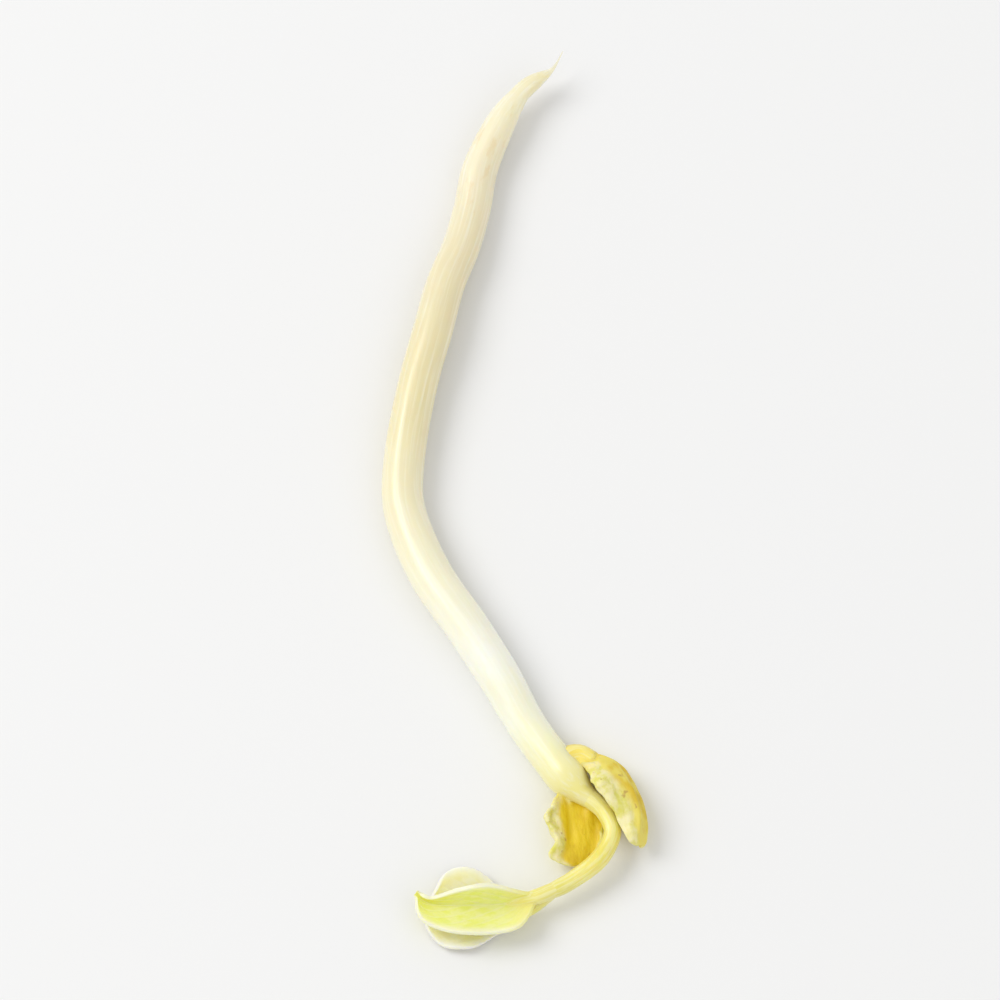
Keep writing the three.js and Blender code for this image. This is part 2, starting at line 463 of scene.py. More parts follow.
# %% Make the shoot
SHOOT = [
    # from inside the stem's end to the fork of the leaf stalks
    (4.3, -22.5, 1.6, 1.4),
    (5.3, -23.6, 1.7, 1.5),
    (6.75, -25.0, 1.85, 1.34),
    (7.4, -26.7, 1.95, 1.32),
    (6.5, -28.75, 1.95, 1.36),
    (4.4, -30.45, 1.8, 1.3),
    (3.3, -31.08, 1.77, 1.26),
    (2.6, -31.42, 1.76, 1.04),
    (2.0, -31.68, 1.74, 0.7),
]
SHOOT_SPACING = 0.12
SHOOT_SIDES = 40
CALM_FOOT, CALM_END = 0.4, 0.25  # the shares of its length in which the relief dies away


def clear_ridges(place):
    return 0.05 * ripple(place, around=0.3, length=7.0, seed=5.0)


def shoot_relief(vert):
    place, share = vert[shoot_grain], vert[shoot_along]
    calm = min(1.0, share / CALM_FOOT, (1 - share) / CALM_END)
    swelling = 0.06 * ripple(place, around=1.5, length=3.0, seed=2.0)
    pores = 0.012 * ripple(place, around=0.25, length=0.8, seed=8.0)
    return (swelling + clear_ridges(place) + pores) * calm


shoot_course = Course(SHOOT)
bm = bmesh.new()
shoot_verts = grow_tube(bm, shoot_course, SHOOT_SPACING, SHOOT_SIDES)
shoot_along = bm.verts.layers.float["along"]
shoot_grain = bm.verts.layers.float_vector["grain"]
carve(bm, shoot_verts, shoot_relief)
shoot = finish_piece(bm, "shoot", "epicotyl")

# %% [markdown]
# ## The growing tip
# In the fork between the two leaf stalks sits the bud that the plant would go on growing from.
# It is a pointed speck, so a small sphere drawn out to a tip is enough, with two folds round it.

# %% Make the growing tip
BUD_PLACE = Vector((1.0, -31.85, 1.2))
BUD_LEAN = math.radians(-95)  # it points the way the leaves do
BUD_SIZE = (0.2, 0.24, 0.5)
BUD_NARROWING = 0.45
FOLDS = 2
FOLD_DEPTH = 0.1
FOLD_TWIST = 2.5

bm = bmesh.new()
bud_grain = bm.verts.layers.float_vector.new("grain")
bud_along = bm.verts.layers.float.new("along")
bmesh.ops.create_uvsphere(bm, u_segments=32, v_segments=24, radius=1)
for vert in bm.verts:
    narrow = 1 - BUD_NARROWING * max(vert.co.z, 0) ** 2
    turn = math.atan2(vert.co.y, vert.co.x)
    fold = 1 + FOLD_DEPTH * math.cos(FOLDS * turn + FOLD_TWIST * vert.co.z)
    vert.co = Vector((vert.co.x * narrow * fold, vert.co.y * narrow * fold, vert.co.z))
bmesh.ops.scale(bm, vec=BUD_SIZE, verts=bm.verts)
for vert in bm.verts:
    vert[bud_grain] = vert.co
    vert[bud_along] = 1.0
bmesh.ops.rotate(bm, matrix=Matrix.Rotation(BUD_LEAN, 3, "Y"), verts=bm.verts)
bmesh.ops.translate(bm, vec=BUD_PLACE, verts=bm.verts)
bud = finish_piece(bm, "growing_tip", None)

# %% [markdown]
# ## Knitting a stalk to what it carries
# A leaf or a seed half and its stalk are one growth, with no seam. Two shapes that only overlap
# would show one, so a voxel remesh grows them into a single skin, as an even net of small faces.
# The net knows nothing of the notes, so each of its vertices reads them from the nearest point
# of the old skin, and a little blurring makes them flow across the old seam.

# %% Carry the notes over to a new skin
NOTE_BLURS = 10


def blur_notes(net, layers):
    """Gives each vertex the mean of its own note and its neighbours'."""
    for layer in layers:
        blurred = []
        for vert in net.verts:
            around = [edge.other_vert(vert)[layer] for edge in vert.link_edges]
            blurred.append(sum(around, start=vert[layer]) / (len(around) + 1))
        for vert, value in zip(net.verts, blurred):
            vert[layer] = value


def copy_notes(old, net):
    kinds = [(old.verts.layers.float, net.verts.layers.float),
             (old.verts.layers.float_vector, net.verts.layers.float_vector)]
    pairs = [(source[name], target.new(name)) for source, target in kinds for name in source.keys()]
    old.faces.ensure_lookup_table()
    nearest = BVHTree.FromBMesh(old)
    for vert in net.verts:
        spot, _, index, _ = nearest.find_nearest(vert.co)
        corners = old.faces[index].verts
        weights = poly_3d_calc([corner.co for corner in corners], spot)
        for source, target in pairs:
            nothing = corners[0][source] * 0
            shares = (corner[source] * weight for corner, weight in zip(corners, weights))
            vert[target] = sum(shares, start=nothing)
    for _ in range(NOTE_BLURS):
        blur_notes(net, [target for _, target in pairs])


# %% [markdown]
# The net is smoothed all over, to hide the steps of the voxels. Then it is smoothed again along
# the old seam, where the note of the stalk fades: that turns a crease into a soft hollow.

# %% Knit overlapping shells into one skin
NET_SMOOTHINGS = 4
SEAM = (0.02, 0.98)  # the note of the stalk lies between these on the seam
SEAM_SMOOTHINGS = 14


def smooth_out(bm, verts, rounds):
    for _ in range(rounds):
        bmesh.ops.smooth_vert(bm, verts=verts, factor=0.5,
                              use_axis_x=True, use_axis_y=True, use_axis_z=True)


def knit(bm, size):
    """Makes one skin of the shells in bm, with faces of that size in millimetres. Frees bm."""
    loose = bpy.data.meshes.new("loose_shells")
    bmesh.ops.recalc_face_normals(bm, faces=bm.faces)
    bm.to_mesh(loose)
    holder = bpy.data.objects.new("loose_shells", loose)
    bpy.context.scene.collection.objects.link(holder)
    remesh = holder.modifiers.new("knit", "REMESH")
    remesh.mode = "VOXEL"
    remesh.voxel_size = size
    net = bmesh.new()
    net.from_object(holder, bpy.context.evaluated_depsgraph_get())
    bpy.data.objects.remove(holder)
    bpy.data.meshes.remove(loose)
    copy_notes(bm, net)
    bm.free()
    on_stalk = net.verts.layers.float["stalk"]
    seam = [vert for vert in net.verts if SEAM[0] < vert[on_stalk] < SEAM[1]]
    smooth_out(net, net.verts, NET_SMOOTHINGS)
    smooth_out(net, seam, SEAM_SMOOTHINGS)
    print("knitted a net of", len(net.verts), "vertices,", len(seam), "of them on the seam")
    return net


# %% [markdown]
# ## Margins
# Neither a dried seed half nor a young leaf has an even margin. The seed half's puckers in slow
# waves with smaller ones on them, which make it wider and narrower. On both, here and there a
# lobe stands out, or a bay cuts in. Each side of the course has lobes of its own.

# %% Pucker a margin and give it lobes
RIGHT, LEFT = 1, -1  # the two sides of a course, for someone who walks along it
MARGIN_GAP = 9  # keeps the noise of one margin far from that of another
PUCKER_WAVES = 1.7
SMALLER_WAVES = [(0.45, 7, 0), (0.3, 17, 4)]  # height, how many, and a layer of the noise
LOBE_START = 0.08  # lobes grow to their full size over this share, from the foot


def wobble(share, times, offset, layer):
    """Noise from -1 to 1 that changes that many times between the ends of a margin."""
    return noise.noise(Vector((share * times, offset * MARGIN_GAP, layer)))


def pucker(share, offset):
    """The slow wave of a dried edge, with smaller waves on it."""
    rise = math.sin(2 * math.pi * (PUCKER_WAVES * share + offset))
    for height, times, layer in SMALLER_WAVES:
        rise += height * wobble(share, times, offset, layer)
    return rise


def lobe_at(lobes, side, share):
    """What the lobes add to the width on that side, and how far they carry its margin back."""
    wider = back = 0.0
    for lobe_side, centre, spread, width, reach_back in lobes:
        if lobe_side == side:
            here = math.exp(-((share - centre) / spread) ** 2) * min(share / LOBE_START, 1)
            wider += width * here
            back += reach_back * here
    return wider, back


print("puckers along a trial margin:", [round(pucker(i / 8, 0), 1) for i in range(9)])

# %% [markdown]
# ## The seed halves
# The two halves of the bean have given up their food. Each has shrunk to a creased boat on a
# short stalk, flat or hollow where it lay against the other, with a rim that puckers and rolls
# over. A sphere with many rings is a good start: its poles become the two ends, and every other
# vertex moves to its place in a section of the boat. The section is worked out first.

# %% Shape one section of the boat
NOTCHES = {RIGHT: 0.16, LEFT: 0.07}  # how deep the puckers cut, as a share of the half width
BLUNTNESS = 0.24  # above 0, both ends are blunt
ROUND_EDGE = 0.72  # below 1, the rim is thick and round instead of sharp
CREASES = 3
CREASE_DEPTH = 0.2
CREASE_WANDER = 1.2
CREASE_BENDS = 5
LIP_HEIGHT, LIP_LUMPS = 0.2, 0.3  # in millimetres
LIP_LUMP_TIMES, LIP_LUMP_LAYER = 8, 7
LIP_TURN = 0.7 * math.pi  # past a quarter turn, so that the lip comes down again


def boat_section(form, x, z, share, girth):
    """Where the point x, z of a ring of the ball goes: across, up, and how far it is rolled."""
    side = RIGHT if x > 0 else LEFT
    offset = 0 if x > 0 else form.seed
    fullness = girth ** -BLUNTNESS
    notch = 1 - NOTCHES[side] * pucker(share, offset)
    wider, _ = lobe_at(form.lobes, side, share)
    across = x * (form.width / 2 * fullness * notch + wider)

    plump = math.copysign(girth * (abs(z) / girth) ** ROUND_EDGE, z)
    wander = CREASE_WANDER * math.sin(CREASE_BENDS * share + form.seed)
    crease = 1 - CREASE_DEPTH * math.cos(CREASES * math.pi * x + wander)
    thickness = form.above if z > 0 else form.below
    curl = form.curls[side]
    rise = plump * fullness * crease * thickness + curl * x * x / girth

    reach = min(abs(x) / girth, 1)
    rim = form.rims[side]
    rolled = min(max((reach - rim) / (1 - rim), 0), 1)
    lip = LIP_HEIGHT + LIP_LUMPS * wobble(share, LIP_LUMP_TIMES, offset, LIP_LUMP_LAYER)
    rise += math.sin(LIP_TURN * rolled) * girth * math.copysign(lip, curl)
    return across, rise, rolled


print("the rolled lip turns", round(math.degrees(LIP_TURN)), "degrees")

# %% [markdown]
# Each vertex notes how far its rim is rolled and whether it is on the inner side, because the
# skin has another colour there. The stalk is knitted on, and then the wrinkles are carved.

# %% Shape a seed half
SEED_HALF_SEGMENTS, SEED_HALF_RINGS = 112, 72
SEED_HALF_FACES = 0.07
SMALLEST = 1e-9  # keeps the girth from being nothing at the poles
STALK_SPACING = 0.15
STALK_SIDES = 28


def wrinkles(place, seed):
    """Wrinkles that run along a seed half, finer and shallower as they get closer together."""
    return (0.15 * ripple(place, around=0.8, length=2.0, seed=seed)
            + 0.06 * ripple(place, around=0.45, length=1.0, seed=seed + 5)
            + 0.015 * ripple(place, around=0.25, length=0.45, seed=seed + 9))


def shape_seed_half(name, node, course, stalk, form):
    line = Course([(*station, 0) for station in course])
    bm = bmesh.new()
    edge = bm.verts.layers.float.new("edge")
    along = bm.verts.layers.float.new("along")
    inner = bm.verts.layers.float.new("inner")
    grain = bm.verts.layers.float_vector.new("grain")
    ball = bmesh.ops.create_uvsphere(bm, u_segments=SEED_HALF_SEGMENTS,
                                     v_segments=SEED_HALF_RINGS, radius=1)["verts"]
    for vert in ball:
        x, z, y = vert.co
        share = (1 + y) / 2
        girth = math.sqrt(max(1 - y * y, SMALLEST))
        across, rise, rolled = boat_section(form, x, z, share, girth)
        vert[edge] = rolled
        vert[along] = share
        vert[inner] = 1.0 if z * form.above < z * form.below else 0.0
        vert[grain] = (across, rise, share * line.length)
        vert.co = line.section(share, math.radians(form.roll)) @ Vector((across, rise, 0))
    grow_tube(bm, Course(stalk), STALK_SPACING, STALK_SIDES, stalk=True)
    bm = knit(bm, SEED_HALF_FACES)
    grain = bm.verts.layers.float_vector["grain"]
    carve(bm, bm.verts, lambda vert: wrinkles(vert[grain], form.seed))
    return finish_piece(bm, name, node)


# %% [markdown]
# The halves differ in which side lay against the other one, in how far each rim is rolled, and
# in their lobes. A lobe is a side, where it is and how far it spreads as shares of the length,
# how wide it is and how far it reaches back, in millimetres.

# %% Make both seed halves
front_half = shape_seed_half(
    "seed_half_front", "cotyledon_front",
    course=[(3.9, -23.1, 1.4), (4.2, -24.6, 1.05), (4.4, -26.7, 0.84), (4.5, -29.1, 0.9)],
    stalk=[(3.5, -22.2, 1.6, 1.4), (3.8, -23.2, 1.3, 1.3), (4.1, -24.4, 0.9, 1.0)],
    form=SimpleNamespace(
        width=3.9, above=0.4, below=0.95, roll=-14, seed=0.3,
        curls={RIGHT: 0.8, LEFT: 0.3}, rims={RIGHT: 0.3, LEFT: 0.85},
        lobes=[(RIGHT, 0.93, 0.09, 1.25, 0), (LEFT, 0.45, 0.3, 0.8, 0)]),
)
back_half = shape_seed_half(
    "seed_half_back", "cotyledon_back",
    course=[(5.2, -20.6, 1.9), (7.1, -21.9, 1.9), (8.7, -24.5, 1.9), (9.5, -27.8, 1.75)],
    stalk=[(3.3, -21.0, 1.6, 1.0), (4.1, -20.85, 1.7, 2.0), (4.95, -20.65, 1.85, 1.9),
           (6.5, -21.7, 2.0, 1.6)],
    form=SimpleNamespace(
        width=3.8, above=0.95, below=0.4, roll=-65, seed=0.7,
        curls={RIGHT: -0.8, LEFT: -0.8}, rims={RIGHT: 0.5, LEFT: 0.6}, lobes=[]),
)

# %% [markdown]
# ## The leaves
# The first two leaves are still half folded along the midrib, one boat-shaped and one open
# below it. A flat grid is the right start, because its own map, along and across, can say where
# the veins run. First come the outline of the blade and its relief: the margin waves, the blade
# puffs up between the side veins, and it dips along the midrib.

# %% Draw a leaf's outline and relief
FULL_MIDDLE = 0.8  # below 1, the outline's middle is fuller than a sine
SLIM_ENDS = 0.4  # what is added to that on the way to both ends, which makes them slimmer
TIP_WIDTH = 0.2  # half of the blade's width where it ends
FOOT_WIDTH = 0.3  # and how much wider it is where it runs into its stalk
SIDE_VEINS = 6
VEIN_SWEEP = 0.6  # how far a side vein runs on, as a share of the blade, on its way out
MARGIN_WAVES = 5
MIDRIB_DIP = 0.6
MIDRIB_WIDTH = 0.08


def blade_outline(form, share, wider):
    """Half of the blade's width there."""
    lean = math.log(0.5) / math.log(form.widest)  # carries the sine's top to the widest place
    slimness = FULL_MIDDLE + SLIM_ENDS * abs(2 * share - 1) ** 4
    outline = form.half_width * max(math.sin(math.pi * share ** lean), 0) ** slimness
    return math.hypot(outline + wider, TIP_WIDTH + FOOT_WIDTH * (1 - share) ** 3)


def blade_lift(form, share, reach):
    """How far the blade stands off its smooth arc there."""
    vein = (share - VEIN_SWEEP * reach) * SIDE_VEINS
    wave = form.wave * math.sin(MARGIN_WAVES * math.pi * share) * reach ** 2
    puff = form.puff * math.sin(math.pi * (vein % 1)) * math.sin(math.pi * reach)
    dip = form.puff * MIDRIB_DIP * math.exp(-(reach / MIDRIB_WIDTH) ** 2)
    return (wave + puff - dip) * math.sin(math.pi * share)


trial_form = SimpleNamespace(half_width=2.5, widest=0.5)
half_widths = [round(blade_outline(trial_form, i / 8, 0), 1) for i in range(9)]
print("half widths along a trial blade:", half_widths)

# %% [markdown]
# Then each half of the grid climbs an arc from the midrib to the margin. Solidify gives the blade
# its thickness, and knitting it to the stalk rounds its margin. The ridges of the shoot go on
# along the stalk.

# %% Shape a leaf
LEAF_GRID = (72, 40)  # faces along and across the blade
LEAF_THICKNESS = 0.34
LEAF_FACES = 0.055
MIDRIB_REACH = 0.2  # the part of each half that is smoothed where the blade folds
MIDRIB_SMOOTHINGS = 4


def fold_blade(vert, share, v, line, form):
    """Moves a vertex of the grid to its place on the blade: v goes from one margin to the other."""
    side, reach = (RIGHT if v > 0 else LEFT), abs(v)
    wider, back = lobe_at(form.lobes, side, share)
    outline = blade_outline(form, share, wider)
    start, end = [math.radians(angle) for angle in form.arcs[side]]
    angle = start + (end - start) * reach
    spread = outline / (end - start) * (math.sin(angle) - math.sin(start))
    climb = outline / (end - start) * (math.cos(start) - math.cos(angle))
    lift = blade_lift(form, share, reach)
    across = math.copysign(spread - lift * math.sin(angle), v)
    climb += lift * math.cos(angle)
    vert.co = line.section(share) @ Vector((across, climb, -back * reach ** 2))


def shape_leaf(name, node, course, stalk, form):
    line = Course([(*station, 0) for station in course])
    bm = bmesh.new()
    chart = bm.verts.layers.float_vector.new("chart")
    bmesh.ops.create_grid(bm, x_segments=LEAF_GRID[0], y_segments=LEAF_GRID[1], size=0.5)
    for vert in bm.verts:
        share, v = vert.co.x + 0.5, 2 * vert.co.y
        vert[chart] = (share, v, 0)
        fold_blade(vert, share, v, line, form)
    smooth_out(bm, [vert for vert in bm.verts if abs(vert[chart].y) < MIDRIB_REACH],
               MIDRIB_SMOOTHINGS)
    bm.normal_update()
    for vert in bm.verts:
        vert.co += vert.normal * LEAF_THICKNESS / 2
    bmesh.ops.solidify(bm, geom=bm.faces[:], thickness=LEAF_THICKNESS)
    grow_tube(bm, Course(stalk), STALK_SPACING, STALK_SIDES, stalk=True)
    bm = knit(bm, LEAF_FACES)
    grain, on_stalk = bm.verts.layers.float_vector["grain"], bm.verts.layers.float["stalk"]
    carve(bm, bm.verts, lambda vert: vert[on_stalk] * clear_ridges(vert[grain]))
    return finish_piece(bm, name, node)


# %% [markdown]
# The arcs say how steeply each half leaves the midrib and reaches its margin, in degrees. The
# upper leaf's far half stands almost upright, and the lower leaf lies nearly flat.

# %% Make both leaves
upper_leaf = shape_leaf(
    "young_leaf_upper", "leaf_upper",
    course=[(1.9, -31.78, 1.8), (-0.8, -32.2, 1.6), (-3.6, -32.3, 1.55), (-6.2, -32.2, 1.75),
            (-7.3, -31.6, 2.2)],
    stalk=[(4.0, -30.7, 1.78, 0.9), (3.3, -31.08, 1.78, 1.12), (2.6, -31.42, 1.8, 1.2),
           (1.7, -31.8, 1.83, 1.18), (0.7, -32.02, 1.7, 1.05), (-0.3, -32.12, 1.5, 0.8),
           (-1.6, -32.2, 1.36, 0.5), (-3.4, -32.3, 1.3, 0.3)],
    form=SimpleNamespace(
        half_width=2.7, widest=0.48, arcs={LEFT: (2, 26), RIGHT: (58, 92)}, wave=0.12, puff=0.07,
        lobes=[(LEFT, 0.17, 0.12, 0.6, 0.25), (LEFT, 0.7, 0.12, -0.2, 0),
               (RIGHT, 0.72, 0.17, -1.3, 0)]),
)
lower_leaf = shape_leaf(
    "young_leaf_lower", "leaf_lower",
    course=[(1.2, -32.5, 0.82), (-0.8, -32.75, 0.4), (-3.6, -32.6, 0.28), (-5.8, -32.4, 0.36),
            (-6.8, -32.2, 0.6)],
    stalk=[(3.4, -31.05, 1.6, 0.75), (2.5, -31.65, 1.28, 0.9), (1.6, -32.25, 0.96, 0.95),
           (0.9, -32.6, 0.76, 0.9), (0.1, -32.72, 0.6, 0.7), (-1.2, -32.75, 0.38, 0.35)],
    form=SimpleNamespace(
        half_width=3.0, widest=0.6, arcs={LEFT: (3, 12), RIGHT: (2, 18)}, wave=0.14, puff=0.05,
        lobes=[(LEFT, 0.78, 0.12, -0.5, 0), (LEFT, 0.44, 0.08, 0.2, 0),
               (LEFT, 0.28, 0.07, -0.3, 0), (RIGHT, 0.46, 0.2, 0.75, 0),
               (RIGHT, 0.84, 0.08, -0.5, 0)]),
)

# %% [markdown]
# ## Colours that are grown, not painted on
# Plant tissue takes its look from the light that wanders inside it. Each material lets light
# in with subsurface scattering, warm and deep in the watery stem and shallower in the rest, and
# has a thin moist coat. Its colours could be painted on an image, but patterns that are worked
# out need no file and stay sharp from near. Colours are written as people write them, such as
# F1EBCF.

# %% Start a living material and feed its nodes
BARE_TISSUE = (0.8, 0.8, 0.6)  # shows only as long as no pattern is linked
MOIST_ROUGHNESS = 0.25
SRGB_TOE = 0.04045  # below it, sRGB values are in line with the light


def living_material(name, roughness, depth, colour_depths, inside, coat):
    """A moist tissue: `depth` is how many millimetres light wanders in it."""
    material = plain_material(name, BARE_TISSUE, roughness)
    shader = shader_of(material).inputs
    shader["Subsurface Weight"].default_value = inside
    shader["Subsurface Radius"].default_value = colour_depths
    shader["Subsurface Scale"].default_value = depth * METRES_PER_MM
    shader["Coat Weight"].default_value = coat
    shader["Coat Roughness"].default_value = MOIST_ROUGHNESS
    return material


def hexed(text):
    """A colour such as F1EBCF in the light values that Blender mixes."""
    values = [int(text[i:i + 2], 16) / 255 for i in (0, 2, 4)]
    return (*[v / 12.92 if v <= SRGB_TOE else ((v + 0.055) / 1.055) ** 2.4 for v in values], 1)


def add_node(material, kind, **settings):
    made = material.node_tree.nodes.new(kind)
    for setting, value in settings.items():
        setattr(made, setting, value)
    return made


def feed(material, socket, value):
    """Puts a link, a plain value or a written colour on a socket."""
    if isinstance(value, bpy.types.NodeSocket):
        material.node_tree.links.new(value, socket)
    else:
        socket.default_value = hexed(value) if isinstance(value, str) else value


print("F1EBCF is", [round(value, 3) for value in hexed("F1EBCF")])

# %% [markdown]
# The patterns read the notes of the vertices, so they follow every bend. Noise that is squeezed
# across the grain becomes fibres, and even noise becomes clouds.

# %% Read the notes and draw patterns


def note(material, name, output="Fac"):
    """Reads one of the notes that the vertices keep."""
    return add_node(material, "ShaderNodeAttribute", attribute_name=name).outputs[output]


def maths(material, operation, *values):
    made = add_node(material, "ShaderNodeMath", operation=operation)
    for socket, value in zip(made.inputs, values):
        feed(material, socket, value)
    return made.outputs[0]


def ease(material, value, low, high, to_low=0.0, to_high=1.0):
    """Turns low..high smoothly into to_low..to_high, and holds the ends."""
    made = add_node(material, "ShaderNodeMapRange", interpolation_type="SMOOTHSTEP")
    for socket, item in zip(made.inputs, (value, low, high, to_low, to_high)):
        feed(material, socket, item)
    return made.outputs[0]


def speckle(material, where, stretch, scale=1.0, detail=3.0, rough=0.55):
    """Noise from 0 to 1, that many times finer in each direction."""
    squeezed = add_node(material, "ShaderNodeMapping", vector_type="POINT")
    feed(material, squeezed.inputs["Vector"], where)
    squeezed.inputs["Scale"].default_value = stretch
    made = add_node(material, "ShaderNodeTexNoise")
    feed(material, made.inputs["Vector"], squeezed.outputs[0])
    made.inputs["Scale"].default_value = scale
    made.inputs["Detail"].default_value = detail
    made.inputs["Roughness"].default_value = rough
    return made.outputs["Fac"]


# %% [markdown]
# The last helpers mix colours and put them on the shader with a fine relief. Where two organs
# grow into each other, their skins overlap, and the light that wanders in one can't come out of
# the other, which would leave a thin grey line. So a pattern also says where light is let in,
# and near each joint it isn't.

# %% Mix colours and put on the skin
COLOUR_A, COLOUR_B, MIXED_COLOUR = 6, 7, 2  # a Mix node's sockets for colours


def blend_colours(material, share, first, second):
    made = add_node(material, "ShaderNodeMix", data_type="RGBA")
    feed(material, made.inputs["Factor"], share)
    feed(material, made.inputs[COLOUR_A], first)
    feed(material, made.inputs[COLOUR_B], second)
    return made.outputs[MIXED_COLOUR]


def stages(material, value, colours):
    """A colour for each stage along a piece, of its growth and, on the stem, also of painted shade
    and painted highlight: pairs of a position from 0 to 1 and a colour.
    """
    made = add_node(material, "ShaderNodeValToRGB")
    stops = made.color_ramp.elements
    stops[0].position, stops[1].position = colours[0][0], colours[-1][0]
    stops[0].color, stops[1].color = hexed(colours[0][1]), hexed(colours[-1][1])
    for position, colour in colours[1:-1]:
        stops.new(position).color = hexed(colour)
    feed(material, made.inputs["Fac"], value)
    return made.outputs["Color"]


def skin(material, height, depth, colour):
    """Puts the colour and a relief of so many millimetres on the shader."""
    bump = add_node(material, "ShaderNodeBump")
    bump.inputs["Distance"].default_value = depth * METRES_PER_MM
    feed(material, bump.inputs["Height"], height)
    feed(material, shader_of(material).inputs["Normal"], bump.outputs[0])
    feed(material, shader_of(material).inputs["Base Color"], colour)


def let_light_in(material, share):
    feed(material, shader_of(material).inputs["Subsurface Weight"], share)


def dress(piece, material):
    piece.data.materials.append(material)
    print(piece.name, "wears", material.name, "made of", len(material.node_tree.nodes), "nodes")


# %% [markdown]
# ## The stem's flesh
# The stem is ivory and glassy, creamier towards the root, tan and dry at the root's tip, and butter
# yellow where the seed halves sit. Part of that is painted light: the deeper cream in its middle is
# painted shade, as if neighbouring sprouts shaded it, and the cool near-white stretch nearer the
# seed halves is a painted highlight, where a strong lamp would light its side. The stages are pushed
# a little back and forth by large patches, so that they have no straight borders. Pale fibres run in
# it lengthwise, with watery patches between them, and the root has dry scuffs.

# %% Colour the stem
# The deeper cream from 0.3 to 0.45 is partly painted shade, and the cool near-white from 0.78 to
# 0.87 is partly a painted highlight.
STEM_STAGES_WITH_PAINTED_LIGHT = [
    (0.0, "CDB488"),
    (0.025, "E0D2AC"),
    (0.09, "EEE6CA"),
    (0.18, "E9E0C4"),
    (0.3, "E3D9B6"),
    (0.45, "E4DAAE"),
    (0.56, "ECE4C2"),
    (0.68, "F2EED4"),
    (0.78, "F6F6EA"),
    (0.87, "F6F6E2"),
    (0.93, "F7F0B4"),
    (0.97, "F6EC88"),
    (1.0, "F5EB90"),
]
STAGE_DRIFT = 0.08

flesh = living_material("watery_stem", roughness=0.34, depth=2.2, colour_depths=(1.0, 0.88, 0.62),
                        inside=1.0, coat=0.55)
grain_note, way = note(flesh, "grain", "Vector"), note(flesh, "along")
patches = speckle(flesh, grain_note, stretch=(0.5, 0.5, 0.16))
fibres = speckle(flesh, grain_note, stretch=(4.0, 4.0, 0.14), detail=4.0)
drift = maths(flesh, "MULTIPLY_ADD", maths(flesh, "SUBTRACT", patches, 0.5), STAGE_DRIFT, way)
staged = stages(flesh, drift, STEM_STAGES_WITH_PAINTED_LIGHT)
watery_share = ease(flesh, patches, 0.35, 0.7, to_high=0.35)
watery = blend_colours(flesh, watery_share, staged, "EAE3C2")
fibre_share = ease(flesh, fibres, 0.45, 0.75, to_high=0.35)
fibrous = blend_colours(flesh, fibre_share, watery, "FCFBF2")
scuffs = speckle(flesh, grain_note, stretch=(0.9, 0.9, 0.35), detail=5.0, rough=0.65)
scuff_share = maths(flesh, "MULTIPLY", ease(flesh, scuffs, 0.56, 0.68, to_high=0.45),
                    ease(flesh, way, 0.25, 0.6, to_low=1.0, to_high=0.15))
scuffed = blend_colours(flesh, scuff_share, fibrous, "E3CFA2")
skin(flesh, height=fibres, depth=0.018, colour=scuffed)
feed(flesh, shader_of(flesh).inputs["Roughness"],
     ease(flesh, patches, 0.3, 0.7, to_low=0.31, to_high=0.42))
let_light_in(flesh, ease(flesh, way, 0.9, 0.965, to_low=1.0, to_high=0.0))
dress(stem, flesh)

# %% [markdown]
# ## The shoot's skin
# The shoot has begun to green in the light. It goes from butter yellow at its foot to a
# yellow-green hook, with streaks along it.

# %% Colour the shoot
SHOOT_STAGES = [
    (0.0, "F5EC9E"),
    (0.16, "F4EB94"),
    (0.3, "F0E478"),
    (0.6, "EEE16C"),
    (0.85, "F1E780"),
    (1.0, "F1E888"),
]
STREAK_STRETCH = (5.0, 5.0, 0.35)


def streaks_of(material):
    """The streaks that run along the shoot and on along the leaf stalks."""
    return speckle(material, note(material, "grain", "Vector"), STREAK_STRETCH, detail=4.0)


def streak(material, streaks, between, colour):
    return blend_colours(material, ease(material, streaks, 0.42, 0.62, to_high=0.6), between, colour)


green_skin = living_material("yellow_shoot", roughness=0.34, depth=0.8,
                             colour_depths=(1.0, 0.85, 0.3), inside=0.6, coat=0.2)
way = note(green_skin, "along")
streaks = streaks_of(green_skin)
clouds = speckle(green_skin, note(green_skin, "grain", "Vector"), stretch=(0.8, 0.8, 0.5))
staged = stages(green_skin, way, SHOOT_STAGES)
cloud_share = ease(green_skin, clouds, 0.4, 0.7, to_high=0.6)
clouded = blend_colours(green_skin, cloud_share, staged, "E3DA5A")
skin(green_skin, height=streaks, depth=0.05, colour=streak(green_skin, streaks, clouded, "F8F3B4"))
feed(green_skin, shader_of(green_skin).inputs["Roughness"],
     ease(green_skin, clouds, 0.3, 0.7, to_low=0.32, to_high=0.44))
past_foot = ease(green_skin, way, 0.2, 0.34, to_high=0.6)
before_fork = ease(green_skin, way, 0.72, 0.85, to_low=1.0, to_high=0.0)
let_light_in(green_skin, maths(green_skin, "MULTIPLY", past_foot, before_fork))
for piece in (shoot, bud):
    dress(piece, green_skin)

# %% [markdown]
# ## The seed halves' skin
# Old gold, deeper in blotches and on the inner side, and cream or green-yellow along the rolled
# rim, with a few brown specks where the skin has dried. The stalk is brighter and fibrous.

# %% Colour the seed halves
SEED_HALF_INSIDE = 0.35


def husk_gold(husk, mottling):
    """The old gold of both sides, with a cream or green rim."""
    gold = blend_colours(husk, note(husk, "inner"), "EBDB62", "EED222")
    blotched = blend_colours(husk, ease(husk, mottling, 0.4, 0.7), gold, "DDBB0C")
    frayed = maths(husk, "MULTIPLY_ADD", mottling, 0.6, note(husk, "edge"))
    tinges = speckle(husk, note(husk, "grain", "Vector"), stretch=(1.0, 1.0, 0.8), scale=1.3)
    rim_colour = blend_colours(husk, ease(husk, tinges, 0.35, 0.65), "F5ECB2", "E0DA66")
    return blend_colours(husk, ease(husk, frayed, 0.35, 0.75), blotched, rim_colour)


